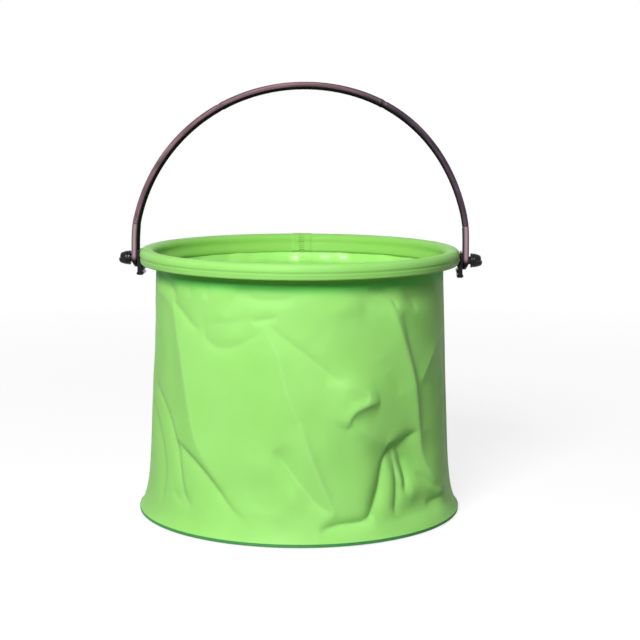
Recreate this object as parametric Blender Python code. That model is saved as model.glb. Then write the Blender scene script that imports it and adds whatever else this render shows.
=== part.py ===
"""Collapsible camp bucket: a soft sheet wall between a stiff base and a hooped rim, with a bail.

Lengths are in metres and +Z is up. The origin is the centre of the underside, on the
surface that the bucket stands on. The bail turns about an axis along X through the two
lugs, and the rim slides down Z when the bucket is folded flat. The front is at -Y.
"""

import math

import bmesh
import bpy
from mathutils import Matrix, Vector

# Driving dimensions
BUCKET_HEIGHT = 0.1655
RIM_RADIUS = 0.100
BASE_OVERHANG = 0.0015
BASE_RADIUS = RIM_RADIUS + BASE_OVERHANG
CLEARANCE = 0.0003

# Rim: a sleeve of sheet folded round a bent plastic hoop
RIM_WIDTH = 0.008
RIM_HEIGHT = 0.0095
SLEEVE_THICKNESS = 0.0007
RIM_SQUARENESS = 2.5
GROOVE_DROP = 0.0063
GROOVE_DEPTH = 0.0004
GROOVE_HALF_WIDTH = 0.0006
LIP_INSET = 0.0005
LIP_ROUND = 0.0014
ROLL_START = math.radians(-8)
ROLL_STOP = math.radians(192)
SLEEVE_TAIL = 0.0026
HOOP_WALL = 0.0011
HOOP_JOINT_AZIMUTH = math.radians(124)
JOINER_COLLAR = 0.002
JOINER_PLUG = 0.011

# Wall: one sheet, welded into a tube and turned out into a flange at the foot
SHEET_THICKNESS = 0.0006
WALL_TUCK = 0.0022
WALL_SPREAD = 0.0059
SPREAD_POWER = 1.15
FLARE_HEIGHT = 0.0095
FLANGE_WIDTH = 0.0006
SEAM_AZIMUTH = math.radians(92.2)
FOLD_WIDTH = 0.0085
FOLD_DEPTH = 0.0034

# Base: a stiff board between the floor sheet and the bottom skin
SKIN_THICKNESS = 0.0008
BOARD_THICKNESS = 0.0016
BOARD_MARGIN = 0.0065
FLOOR_STEP = 0.0009

# Lugs: a saddle on the rim with a split stud for the bail's eye
PIVOT_DROP = 0.0074
PLATE_THICKNESS = 0.0012
PLATE_WIDTH = 0.016
PLATE_RISE = 0.0054
PLATE_REACH = 0.0102
LEG_SWELL = 0.0008
LEG_ROUND = 0.0005
HOOK_DEPTH = 0.0018
HOOK_PITCH = 0.0034
NECK_RADIUS = 0.0025
STUD_GAP = 0.0012
HEAD_RADIUS = 0.0045
HEAD_TIP_RADIUS = 0.0031
HEAD_LENGTH = 0.0074
SLOT_WIDTH = 0.0012
PEG_RADIUS = 0.0015
PEG_SHORTFALL = 0.0012

# Bail: a moulded strip bent to a half circle, with a flat tab and an eye at each end
BAIL_WIDTH = 0.015
BAIL_THICKNESS = 0.0034
BAIL_RISE = 0.003
BAIL_BOW = 0.001
BAIL_LEAN = math.radians(6)
TAB_THICKNESS = 0.0036
TAB_LENGTH = 0.022
TAB_STRAIGHT = 0.009
TAB_END = 0.006
GRIP_HALF_ANGLE = math.radians(28.5)
GRIP_SWELL = 0.0005
STRIP_CHAMFER = 0.0006

# One overrun serves every cut
OVERRUN = 0.002

# Counts of the turned pieces, the rim's section and the strip
TURN_STEPS = 48
HOOP_SIDES = 12
ROUND_SIDES = 16
ROLL_POINTS = 11
ARC_STEPS = 36

# Where the sheet's rows lie, as shares of the wall's height from flange to top edge
WALL_ROW_SHARES = (0.0, 0.018, 0.05, 0.115, 0.22, 0.335, 0.455, 0.58, 0.705, 0.83, 0.965, 1.0)

# The wall's main folds: azimuth in degrees from the front and height as a share of the
# wall's, at both ends, then the fold's height as a share of FOLD_DEPTH, inward negative
FOLD_SHARES = (
    (-50, 0.86, -40, 0.40, 1.0),
    (-40, 0.40, -17, 0.10, 0.8),
    (-67, 0.54, -45, 0.22, -1.0),
    (-34, 0.76, -27, 0.72, -0.7),
    (-20, 0.84, -6, 0.84, -0.6),
    (-8, 0.82, 17, 0.60, 0.9),
    (39, 0.90, 52, 0.44, 1.0),
    (52, 0.44, 67, 0.12, 0.9),
    (60, 0.74, 72, 0.30, -1.0),
    (22, 0.47, 37, 0.34, -0.8),
    (37, 0.34, 28, 0.12, 0.9),
    (37, 0.34, 40, 0.10, -0.8),
    (110, 0.80, 135, 0.25, 0.9),
    (150, 0.75, 172, 0.20, -0.9),
    (-170, 0.70, -140, 0.30, 0.9),
    (-125, 0.85, -100, 0.30, -0.9),
    (87, 0.56, 90, 0.34, 0.4),
    (85, 0.86, 89, 0.70, -0.25),
    (-84, 0.56, -80, 0.34, -0.25),
)

# The shares of the wall's height over which the folds die out at its foot and below its
# top, and the share where the sleeve's grip starts
FOOT_FADE_SHARE = 0.12
TOP_FADE_SHARE = 0.08
GRIP_SHARE = 0.965

# The lug's inner outline below the rim, from the rim's corner down to the foot: the share
# of HOOK_DEPTH that each point reaches in, and its height as a share of HOOK_PITCH
HOOK_SHARES = ((0.05, 1.52), (1.0, 1.17), (0.9, 0.88), (0.15, 0.65), (0.7, 0.28), (0.55, 0.0))
HEAD_SHOULDER_SHARE = 0.55

# Where a rounded corner's middle point lies, as a share of the corner's size
CORNER_SHARE = 0.3

# The strip's stations: turns round the tab's end, in degrees, and shares of the bent tab
END_TURNS = (20, 45, 68, 90)
BEND_SHARES = (0.0, 0.5, 0.97)

rim_middle_radius = RIM_RADIUS - RIM_WIDTH / 2
rim_middle_height = BUCKET_HEIGHT - RIM_HEIGHT / 2
rim_bottom = BUCKET_HEIGHT - RIM_HEIGHT
lip_radius = RIM_RADIUS - LIP_INSET
groove_height = BUCKET_HEIGHT - GROOVE_DROP
hoop_half_width = RIM_WIDTH / 2 - SLEEVE_THICKNESS - CLEARANCE
hoop_half_height = RIM_HEIGHT / 2 - SLEEVE_THICKNESS - CLEARANCE
wall_top_outer = RIM_RADIUS - RIM_WIDTH - WALL_TUCK
wall_top_inner = wall_top_outer - SHEET_THICKNESS
wall_top_height = rim_bottom - CLEARANCE
board_bottom = SKIN_THICKNESS + CLEARANCE
board_top = board_bottom + BOARD_THICKNESS
floor_underside = board_top + CLEARANCE
flange_bottom = board_bottom + SHEET_THICKNESS + CLEARANCE
board_radius = BASE_RADIUS - BOARD_MARGIN
pivot_height = BUCKET_HEIGHT - PIVOT_DROP
plate_inner = RIM_RADIUS + CLEARANCE
plate_outer = plate_inner + PLATE_THICKNESS
tab_inner = plate_outer + CLEARANCE
tab_outer = tab_inner + TAB_THICKNESS
tab_middle = tab_inner + TAB_THICKNESS / 2
bail_middle_radius = tab_outer + BAIL_BOW - BAIL_THICKNESS / 2


def clear_scene():
    """Take every object out of the scene."""
    for existing in list(bpy.data.objects):
        bpy.data.objects.remove(existing, do_unlink=True)


def finish(name, color, roughness):
    """A plastic finish as one Principled BSDF."""
    made = bpy.data.materials.new(name)
    made.use_nodes = True
    shader = made.node_tree.nodes["Principled BSDF"]
    shader.inputs["Base Color"].default_value = (*color, 1.0)
    shader.inputs["Roughness"].default_value = roughness
    shader.inputs["Metallic"].default_value = 0.0
    return made


def object_from(name, mesh_data, material, smooth=True):
    """Put a bmesh into the scene as a named object with its faces pointing out."""
    bmesh.ops.recalc_face_normals(mesh_data, faces=mesh_data.faces)
    mesh = bpy.data.meshes.new(name)
    mesh_data.to_mesh(mesh)
    mesh_data.free()
    if smooth:
        mesh.shade_smooth()
        mesh.set_sharp_from_angle(angle=math.radians(35))
    mesh.materials.append(material)
    made = bpy.data.objects.new(name, mesh)
    bpy.context.collection.objects.link(made)
    return made


def hidden(cutter):
    """Mark an object as one that only cuts or joins."""
    cutter.hide_render = True
    cutter.display_type = "WIRE"
    return cutter


def combine(target, other, operation):
    """Cut or join two solids with an exact Boolean modifier."""
    modifier = target.modifiers.new(other.name, "BOOLEAN")
    modifier.operation = operation
    modifier.solver = "EXACT"
    modifier.object = other


def turned(name, section, material):
    """Turn a closed section of (radius, height) points all the way round Z."""
    data = bmesh.new()
    corners = [data.verts.new((radius, 0, height)) for radius, height in section]
    for index, corner in enumerate(corners):
        data.edges.new((corner, corners[index - 1]))
    spin_round(data, Vector((0, 0, 1)), TURN_STEPS)
    return object_from(name, data, material)


def spin_round(data, axis, steps):
    """Spin a bmesh's outline a full turn about an axis and close what meets on it."""
    if axis.z:
        turn = Matrix.Rotation(turn_start(), 3, "Z")
        bmesh.ops.rotate(data, verts=data.verts, cent=Vector(), matrix=turn)
    outline = list(data.verts) + list(data.edges)
    bmesh.ops.spin(data, geom=outline, cent=Vector(), axis=axis, angle=math.tau, steps=steps, use_merge=True)
    bmesh.ops.remove_doubles(data, verts=data.verts, dist=CLEARANCE / 10)


def ring_of(data, section, azimuth):
    """Add a loop of vertices for a (radius, height) section turned to an azimuth."""
    turn = Matrix.Rotation(azimuth, 3, "Z")
    return [data.verts.new(turn @ Vector((radius, 0, height))) for radius, height in section]


def bridge(data, first, second):
    """Join two loops that have the same number of vertices with a band of faces."""
    for index in range(len(first)):
        data.faces.new((first[index - 1], first[index], second[index], second[index - 1]))


def turned_disc(name, outline, material):
    """Turn an open outline from axis to axis about Z into a solid disc."""
    data = bmesh.new()
    corners = [data.verts.new((radius, 0, height)) for radius, height in outline]
    for lower, upper in zip(corners, corners[1:]):
        data.edges.new((lower, upper))
    spin_round(data, Vector((0, 0, 1)), TURN_STEPS)
    return object_from(name, data, material)


def turn_start():
    """The azimuth where turning starts, so that one facet is centred on the seam."""
    return SEAM_AZIMUTH - math.pi / TURN_STEPS


def oval(half_width, half_height, sides=HOOP_SIDES):
    """An oval section round the middle of the rim."""
    points = []
    for index in range(sides):
        angle = math.tau * index / sides
        across = rim_middle_radius + half_width * math.cos(angle)
        points.append((across, rim_middle_height + half_height * math.sin(angle)))
    return points


def roll_point(angle):
    """A point on the rounded top of the rim, by the bearing from its middle."""
    power = 2 / RIM_SQUARENESS
    cosine, sine = math.cos(angle), math.sin(angle)
    across = math.copysign(abs(cosine) ** power, cosine) * RIM_WIDTH / 2
    rise = math.copysign(abs(sine) ** power, sine) * RIM_HEIGHT / 2
    return rim_middle_radius + across, rim_middle_height + rise


def lip_corner(spread=0.0):
    """The rounded lower corner of the lip, from the underside up, moved out by a spread."""
    inward = LIP_ROUND * CORNER_SHARE
    return [
        (lip_radius - LIP_ROUND, rim_bottom - spread),
        (lip_radius - inward + spread, rim_bottom + inward - spread),
        (lip_radius + spread, rim_bottom + LIP_ROUND),
    ]


def sleeve_section():
    """The folded sleeve: outer tail, lip, roll, inner tail, then back round the hoop."""
    outer_tail_in = wall_top_outer + CLEARANCE
    outer_tail_out = outer_tail_in + SLEEVE_THICKNESS
    inner_tail_out = wall_top_inner - CLEARANCE
    inner_tail_in = inner_tail_out - SLEEVE_THICKNESS
    tail_end = rim_bottom - SLEEVE_TAIL
    groove = [(lip_radius, groove_height - GROOVE_HALF_WIDTH), (lip_radius - GROOVE_DEPTH, groove_height)]
    step_angle = (ROLL_STOP - ROLL_START) / ROLL_POINTS
    roll = [roll_point(ROLL_START + step_angle * step) for step in range(ROLL_POINTS + 1)]
    outer_tail = [(outer_tail_out, tail_end), (outer_tail_out, rim_bottom)]
    inner_tail = [
        (inner_tail_in, rim_bottom),
        (inner_tail_in, tail_end),
        (inner_tail_out, tail_end),
        (inner_tail_out, rim_bottom + CLEARANCE),
    ]
    cavity = oval(hoop_half_width + CLEARANCE, hoop_half_height + CLEARANCE)
    mouth = HOOP_SIDES // 2 + 1
    around = [cavity[(mouth - step) % HOOP_SIDES] for step in range(HOOP_SIDES)]
    slit = [(outer_tail_in, rim_bottom + CLEARANCE), (outer_tail_in, tail_end)]
    return outer_tail + lip_corner() + groove + roll + inner_tail + around + slit


def lug_holes(target):
    """Cut the two holes that the lugs' pegs go through in the outer side of the rim."""
    for side in (1, -1):
        radius = PEG_RADIUS + CLEARANCE
        reach = RIM_WIDTH / 2 + OVERRUN
        middle = rim_middle_radius + reach / 2
        cutter = rod(target.name + "_peg_hole", radius, reach, side * middle, rim_middle_height)
        combine(target, hidden(cutter), "DIFFERENCE")


def rod(name, radius, length, across, height, sides=ROUND_SIDES):
    """A round rod along X, centred at a distance across and a height."""
    data = bmesh.new()
    matrix = Matrix.Translation((across, 0, height)) @ Matrix.Rotation(math.pi / 2, 4, "Y")
    bmesh.ops.create_cone(
        data,
        cap_ends=True,
        segments=sides,
        radius1=radius,
        radius2=radius,
        depth=length,
        matrix=matrix,
    )
    return object_from(name, data, None)


def rim_sleeve(material):
    """The sheet sleeve that wraps the hoop and grips the wall's top edge."""
    made = turned("rim_sleeve", sleeve_section(), material)
    lug_holes(made)
    return made


def rim_hoop(material):
    """The bent plastic tube inside the sleeve, open where its joiner goes in."""
    data = bmesh.new()
    half_gap = (JOINER_COLLAR / 2 + CLEARANCE) / rim_middle_radius
    sweep = math.tau - 2 * half_gap
    tube, bore = [], []
    for step in range(TURN_STEPS + 1):
        azimuth = HOOP_JOINT_AZIMUTH + half_gap + sweep * step / TURN_STEPS
        tube.append(ring_of(data, oval(hoop_half_width, hoop_half_height), azimuth))
        bore.append(ring_of(data, oval(hoop_half_width - HOOP_WALL, hoop_half_height - HOOP_WALL), azimuth))
    for skin in (tube, bore):
        for first, second in zip(skin, skin[1:]):
            bridge(data, first, second)
    bridge(data, tube[0], bore[0])
    bridge(data, tube[-1], bore[-1])
    made = object_from("rim_hoop", data, material)
    lug_holes(made)
    return made


def hoop_joiner(material):
    """The plug that joins the hoop's ends, with a collar between them."""
    data = bmesh.new()
    slim = HOOP_WALL + CLEARANCE
    collar = JOINER_COLLAR / 2
    half = ((-JOINER_PLUG, slim), (-collar, slim), (-collar, 0.0))
    stations = half + tuple((-along, inset) for along, inset in half[::-1])
    loops = []
    for along, inset in stations:
        azimuth = HOOP_JOINT_AZIMUTH + along / rim_middle_radius
        loops.append(ring_of(data, oval(hoop_half_width - inset, hoop_half_height - inset), azimuth))
    for first, second in zip(loops, loops[1:]):
        bridge(data, first, second)
    data.faces.new(loops[0])
    data.faces.new(loops[-1])
    return object_from("hoop_joiner", data, material)


def wall_radius(height):
    """The middle of the sheet at a height: a slow spread and a short flare at the foot."""
    top_radius = wall_top_outer - SHEET_THICKNESS / 2
    rise = (height - flange_bottom) / (wall_top_height - flange_bottom)
    flare = BASE_RADIUS - FLANGE_WIDTH - top_radius - WALL_SPREAD
    spread = WALL_SPREAD * (1 - rise) ** SPREAD_POWER
    return top_radius + spread + flare * math.exp(-(height - flange_bottom) / FLARE_HEIGHT)


def fold_offset(azimuth, share):
    """How far the folds push the sheet out at an azimuth from the front and a height share."""
    height = wall_top_height - flange_bottom
    total = 0.0
    for start_turn, start_share, end_turn, end_share, strength in FOLD_SHARES:
        middle = (start_turn + end_turn) / 2
        offset = (azimuth - middle + 180) % 360 - 180
        across = Vector((math.radians(offset) * wall_top_outer, share * height))
        half = math.radians(end_turn - start_turn) / 2 * wall_top_outer
        start = Vector((-half, start_share * height))
        end = Vector((half, end_share * height))
        run = end - start
        along = min(max((across - start).dot(run) / run.length_squared, 0), 1)
        distance = (across - start - run * along).length
        total += strength * math.exp(-((distance / FOLD_WIDTH) ** 2))
    fade = min(share / FOOT_FADE_SHARE, (GRIP_SHARE - share) / TOP_FADE_SHARE, 1)
    return FOLD_DEPTH * total * max(fade, 0)


def wall_sheet(material):
    """The bucket's wall as one closed thin sheet with its main folds."""
    data = bmesh.new()
    height = wall_top_height - flange_bottom
    middle_line = [(BASE_RADIUS, flange_bottom + SHEET_THICKNESS / 2, 0.0)]
    for share in WALL_ROW_SHARES:
        level = flange_bottom + SHEET_THICKNESS / 2 + share * (height - SHEET_THICKNESS / 2)
        middle_line.append((wall_radius(level), level, share))
    columns = []
    for step in range(TURN_STEPS):
        azimuth = turn_start() + math.tau * step / TURN_STEPS
        front_turn = math.degrees(azimuth) + 90
        points = []
        for radius, level, share in middle_line:
            points.append(Vector((radius + fold_offset(front_turn, share), level)))
        outer, inner = [], []
        for index, point in enumerate(points):
            ahead = points[min(index + 1, len(points) - 1)]
            behind = points[max(index - 1, 0)]
            run = (ahead - behind).normalized()
            side = Vector((run.y, -run.x)) * SHEET_THICKNESS / 2
            outer.append(point + side)
            inner.append(point - side)
        columns.append(ring_of(data, outer + inner[::-1], azimuth))
    for step, column in enumerate(columns):
        bridge(data, columns[step - 1], column)
    return object_from("wall_sheet", data, material)


def floor_sheet(material):
    """The floor over the board, stepping down at its edge into the welded flange."""
    step_in = board_radius + CLEARANCE
    step_out = step_in + FLOOR_STEP
    outline = [
        (0, floor_underside),
        (step_in, floor_underside),
        (step_out, board_bottom),
        (BASE_RADIUS, board_bottom),
        (BASE_RADIUS, board_bottom + SHEET_THICKNESS),
        (step_out + SHEET_THICKNESS, board_bottom + SHEET_THICKNESS),
        (step_in + SHEET_THICKNESS, floor_underside + SHEET_THICKNESS),
        (0, floor_underside + SHEET_THICKNESS),
    ]
    return turned_disc("floor_sheet", outline, material)


def disc(name, radius, bottom, thickness, material):
    """A flat round disc."""
    outline = [(0, bottom), (radius, bottom), (radius, bottom + thickness), (0, bottom + thickness)]
    return turned_disc(name, outline, material)


def lug_outline():
    """The saddle's section in X and Z: down the rim's side, two hooks, and up the outside."""
    foot = pivot_height - PLATE_REACH
    under_lip, *beside_lip = lip_corner(CLEARANCE)
    inner = [
        (plate_inner, pivot_height + PLATE_RISE),
        (plate_inner, groove_height),
        *beside_lip[::-1],
        under_lip,
    ]
    hooks = [(lip_radius - share * HOOK_DEPTH, foot + rise * HOOK_PITCH) for share, rise in HOOK_SHARES]
    clear_of_tab = pivot_height - BAIL_WIDTH / 2 - 3 * CLEARANCE
    outer = [
        (plate_outer - LEG_ROUND, foot),
        (plate_outer + LEG_SWELL / 2, foot + LEG_ROUND),
        (plate_outer + LEG_SWELL, clear_of_tab - LEG_ROUND),
        (plate_outer, clear_of_tab),
        (plate_outer, pivot_height + PLATE_RISE),
    ]
    return inner + hooks + outer


def lug_stud(name):
    """The neck and the arrow-shaped head that the bail's eye snaps over, turned about X."""
    data = bmesh.new()
    head_start = tab_outer + STUD_GAP
    shoulder = head_start + HEAD_LENGTH * HEAD_SHOULDER_SHARE
    tip = head_start + HEAD_LENGTH
    outline = [
        (plate_inner + PLATE_THICKNESS / 2, 0),
        (plate_inner + PLATE_THICKNESS / 2, NECK_RADIUS),
        (head_start, NECK_RADIUS),
        (head_start, HEAD_RADIUS),
        (shoulder, (2 * HEAD_RADIUS + HEAD_TIP_RADIUS) / 3),
        (tip - STUD_GAP / 2, HEAD_TIP_RADIUS),
        (tip, HEAD_TIP_RADIUS - STUD_GAP / 2),
        (tip, 0),
    ]
    corners = [data.verts.new((along, 0, radius)) for along, radius in outline]
    for lower, upper in zip(corners, corners[1:]):
        data.edges.new((lower, upper))
    spin_round(data, Vector((1, 0, 0)), ROUND_SIDES)
    bmesh.ops.translate(data, verts=data.verts, vec=Vector((0, 0, pivot_height)))
    return hidden(object_from(name, data, None))


def lug_slot(name):
    """The cut that splits the stud into an upper and a lower prong."""
    data = bmesh.new()
    length = STUD_GAP + HEAD_LENGTH + OVERRUN
    width = 2 * (HEAD_RADIUS + OVERRUN)
    place = Matrix.Translation((tab_outer + length / 2, 0, pivot_height))
    bmesh.ops.create_cube(data, size=1.0, matrix=place @ Matrix.Diagonal((length, width, SLOT_WIDTH, 1)))
    return hidden(object_from(name, data, None, smooth=False))


def lug(name, side, material):
    """One saddle lug with its stud and its peg, turned to its side of the rim."""
    data = bmesh.new()
    outline = lug_outline()
    front = [data.verts.new((across, -PLATE_WIDTH / 2, height)) for across, height in outline]
    face = data.faces.new(front)
    grown = bmesh.ops.extrude_face_region(data, geom=[face])
    moved = [item for item in grown["geom"] if isinstance(item, bmesh.types.BMVert)]
    bmesh.ops.translate(data, verts=moved, vec=Vector((0, PLATE_WIDTH, 0)))
    made = object_from(name, data, material, smooth=False)
    peg_tip = rim_middle_radius + hoop_half_width - HOOP_WALL - PEG_SHORTFALL
    peg_end = plate_inner + PLATE_THICKNESS / 2
    peg = rod(name + "_peg", PEG_RADIUS, peg_end - peg_tip, (peg_tip + peg_end) / 2, rim_middle_height)
    helpers = [lug_stud(name + "_stud"), hidden(peg), lug_slot(name + "_slot")]
    for helper, operation in zip(helpers, ("UNION", "UNION", "DIFFERENCE")):
        combine(made, helper, operation)
        helper.parent = made
    made.rotation_euler.z = 0.0 if side > 0 else math.pi
    return made


def bail_stations():
    """Points along the strip: across, height, outward slope, thickness, half width."""
    half = BAIL_WIDTH / 2
    low = []
    for degrees in END_TURNS:
        turn = math.radians(degrees)
        low.append((tab_middle, -TAB_END * math.cos(turn), 0.0, TAB_THICKNESS, half * math.sin(turn)))
    joint_turn = math.asin((TAB_LENGTH - BAIL_RISE) / bail_middle_radius)
    joint_across = bail_middle_radius * math.cos(joint_turn)
    for share in BEND_SHARES:
        height = TAB_STRAIGHT + (TAB_LENGTH - TAB_STRAIGHT) * share
        across = tab_middle + (joint_across - tab_middle) * share**2
        low.append((across, height, joint_turn * share, TAB_THICKNESS, half))
    arc = []
    for step in range(ARC_STEPS + 1):
        turn = joint_turn + (math.pi - 2 * joint_turn) * step / ARC_STEPS
        across = bail_middle_radius * math.cos(turn)
        height = BAIL_RISE + bail_middle_radius * math.sin(turn)
        swell = GRIP_SWELL if abs(turn - math.pi / 2) < GRIP_HALF_ANGLE else 0.0
        arc.append((across, height, turn, BAIL_THICKNESS, half - GRIP_SWELL + swell))
    far = [(-across, height, math.pi - slope, thick, width) for across, height, slope, thick, width in low]
    return low + arc + far[::-1]


def bail(material):
    """The carrying bail, leaning back a little as it stands."""
    data = bmesh.new()
    loops = []
    for across, height, slope, thickness, half_width in bail_stations():
        outward = Vector((math.cos(slope), 0, math.sin(slope)))
        sideways = Vector((0, 1, 0))
        centre = Vector((across, 0, height))
        half, cut = thickness / 2, STRIP_CHAMFER
        corners = (
            (half, half_width - cut),
            (half - cut, half_width),
            (cut - half, half_width),
            (-half, half_width - cut),
            (-half, cut - half_width),
            (cut - half, -half_width),
            (half - cut, -half_width),
            (half, cut - half_width),
        )
        loops.append([data.verts.new(centre + outward * out + sideways * side) for out, side in corners])
    for first, second in zip(loops, loops[1:]):
        bridge(data, first, second)
    data.faces.new(loops[0])
    data.faces.new(loops[-1])
    made = object_from("bail", data, material)
    for side in (1, -1):
        length = TAB_THICKNESS + 2 * OVERRUN
        eye = rod("bail_eye", NECK_RADIUS + CLEARANCE, length, side * tab_middle, 0.0)
        eye.parent = made
        combine(made, hidden(eye), "DIFFERENCE")
    made.location.z = pivot_height
    made.rotation_euler.x = -BAIL_LEAN
    return made


def carrier(name, height, pieces):
    """An empty on the Z axis that carries the pieces that move together."""
    empty = bpy.data.objects.new(name, None)
    bpy.context.collection.objects.link(empty)
    empty.location.z = height
    for piece in pieces:
        piece.parent = empty
        piece.matrix_parent_inverse = Matrix.Translation((0, 0, -height))
    return empty


def build():
    """Make every piece and hang the moving ones on their carriers."""
    clear_scene()
    rim_green = finish("rim_sheet", (0.42, 0.82, 0.25), 0.42)
    wall_green = finish("wall_sheet", (0.37, 0.79, 0.21), 0.45)
    floor_green = finish("floor_sheet", (0.35, 0.76, 0.20), 0.45)
    board_white = finish("board_plastic", (0.72, 0.72, 0.68), 0.6)
    hoop_white = finish("hoop_plastic", (0.80, 0.80, 0.76), 0.5)
    lug_black = finish("lug_plastic", (0.018, 0.018, 0.022), 0.38)
    bail_brown = finish("bail_plastic", (0.085, 0.045, 0.052), 0.40)

    disc("bottom_skin", BASE_RADIUS, 0.0, SKIN_THICKNESS, floor_green)
    disc("base_board", board_radius, board_bottom, BOARD_THICKNESS, board_white)
    floor_sheet(floor_green)
    wall_sheet(wall_green)

    rim_pieces = [
        rim_sleeve(rim_green),
        rim_hoop(hoop_white),
        hoop_joiner(hoop_white),
        lug("lug_right", 1, lug_black),
        lug("lug_left", -1, lug_black),
    ]
    rim_carrier = carrier("rim_carrier", rim_middle_height, rim_pieces)
    bail_carrier = carrier("bail_carrier", pivot_height, [bail(bail_brown)])
    bail_carrier.parent = rim_carrier
    bail_carrier.matrix_parent_inverse = Matrix.Translation((0, 0, -rim_middle_height))


build()
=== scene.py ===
"""A collapsible camp bucket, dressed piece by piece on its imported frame."""
import math

import bpy
import numpy as np
from mathutils import Matrix


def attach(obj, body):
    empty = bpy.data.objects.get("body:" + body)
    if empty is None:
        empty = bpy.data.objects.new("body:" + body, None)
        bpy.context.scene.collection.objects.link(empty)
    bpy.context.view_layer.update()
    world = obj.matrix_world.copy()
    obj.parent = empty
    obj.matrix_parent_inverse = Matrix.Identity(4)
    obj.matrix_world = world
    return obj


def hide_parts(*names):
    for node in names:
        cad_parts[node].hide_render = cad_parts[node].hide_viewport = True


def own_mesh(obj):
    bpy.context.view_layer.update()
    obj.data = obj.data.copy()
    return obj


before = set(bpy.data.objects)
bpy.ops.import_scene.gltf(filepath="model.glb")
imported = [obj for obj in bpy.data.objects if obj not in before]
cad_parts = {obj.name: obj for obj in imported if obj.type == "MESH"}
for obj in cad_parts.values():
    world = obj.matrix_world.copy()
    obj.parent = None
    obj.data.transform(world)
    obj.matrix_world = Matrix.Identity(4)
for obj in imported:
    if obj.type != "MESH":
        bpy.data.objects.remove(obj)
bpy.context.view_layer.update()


# The base board
# A round plate of stiff white plastic, stamped from sheet, that keeps the soft base flat. It
# lies loose between the floor and the bottom skin, and the weld round the edge shuts it in.
def cloud(tree, size, detail=2.0):
    """Noise on object coordinates divided by size, so that its lumps are size metres across."""
    spot = tree.nodes.new("ShaderNodeTexCoord")
    spread = tree.nodes.new("ShaderNodeMapping")
    spread.inputs["Scale"].default_value = [1 / size] * 3
    noise = tree.nodes.new("ShaderNodeTexNoise")
    noise.inputs["Scale"].default_value = 1.0
    noise.inputs["Detail"].default_value = detail
    tree.links.new(spot.outputs["Object"], spread.inputs["Vector"])
    tree.links.new(spread.outputs["Vector"], noise.inputs["Vector"])
    return noise.outputs["Fac"]


def ranged(tree, amount, low, high, start=0.3, stop=0.7):
    """Map start to low and stop to high in a straight line, held flat beyond both."""
    node = tree.nodes.new("ShaderNodeMapRange")
    node.inputs["From Min"].default_value = start
    node.inputs["From Max"].default_value = stop
    node.inputs["To Min"].default_value = low
    node.inputs["To Max"].default_value = high
    tree.links.new(amount, node.inputs["Value"])
    return node.outputs["Result"]


def blended(tree, amount, first, second):
    """A colour that goes from first to second as the amount goes from 0 to 1."""
    node = tree.nodes.new("ShaderNodeMix")
    node.data_type = "RGBA"
    # Inputs 0, 6 and 7 are the factor and the two colours, and output 2 is their blend.
    tree.links.new(amount, node.inputs[0])
    for socket, color in ((node.inputs[6], first), (node.inputs[7], second)):
        if isinstance(color, tuple):
            socket.default_value = (*color, 1.0)
        else:
            tree.links.new(color, socket)
    return node.outputs[2]


def raised(tree, amount, depth):
    """Tilt the normal as if the surface stood depth metres higher where the amount is 1."""
    bump = tree.nodes.new("ShaderNodeBump")
    bump.inputs["Distance"].default_value = depth
    normal = tree.nodes["Principled BSDF"].inputs["Normal"]
    if normal.links:
        tree.links.new(normal.links[0].from_socket, bump.inputs["Normal"])
    tree.links.new(amount, bump.inputs["Height"])
    tree.links.new(bump.outputs["Normal"], normal)


def plastic(name, dark, light, drift, gloss, grain, depth):
    """A plastic whose colour and gloss wander over clouds, with a fine raised grain.

    The colour goes from dark to light over clouds drift metres across, the roughness over
    gloss's range in clouds a third as large, and the grain has its own size and depth.
    """
    material = bpy.data.materials.new(name)
    material.use_nodes = True
    tree = material.node_tree
    shader = tree.nodes["Principled BSDF"]
    color = blended(tree, ranged(tree, cloud(tree, drift), 0, 1), dark, light)
    tree.links.new(color, shader.inputs["Base Color"])
    tree.links.new(ranged(tree, cloud(tree, drift / 3), *gloss), shader.inputs["Roughness"])
    raised(tree, cloud(tree, grain), depth)
    return material


board_white = plastic("board_plastic", (0.62, 0.62, 0.57), (0.76, 0.76, 0.72),
                      drift=0.03, gloss=(0.5, 0.66), grain=0.0007, depth=0.00002)
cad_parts["base_board"].material_slots[0].material = board_white


# The bottom skin
# A disc of the same coated green sheet as the rest, cut round, which the bucket stands on. Its
# edge is welded up into the floor's and the wall's, and rolls under a little as it cools.
def smooth_object(name, points, faces, sharp):
    """An object of points and faces, smooth but for edges that bend by over sharp degrees."""
    mesh = bpy.data.meshes.new(name)
    mesh.from_pydata(points.tolist(), [], faces)
    mesh.shade_smooth()
    mesh.set_sharp_from_angle(angle=math.radians(sharp))
    made = bpy.data.objects.new(name, mesh)
    bpy.context.collection.objects.link(made)
    return made


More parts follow.
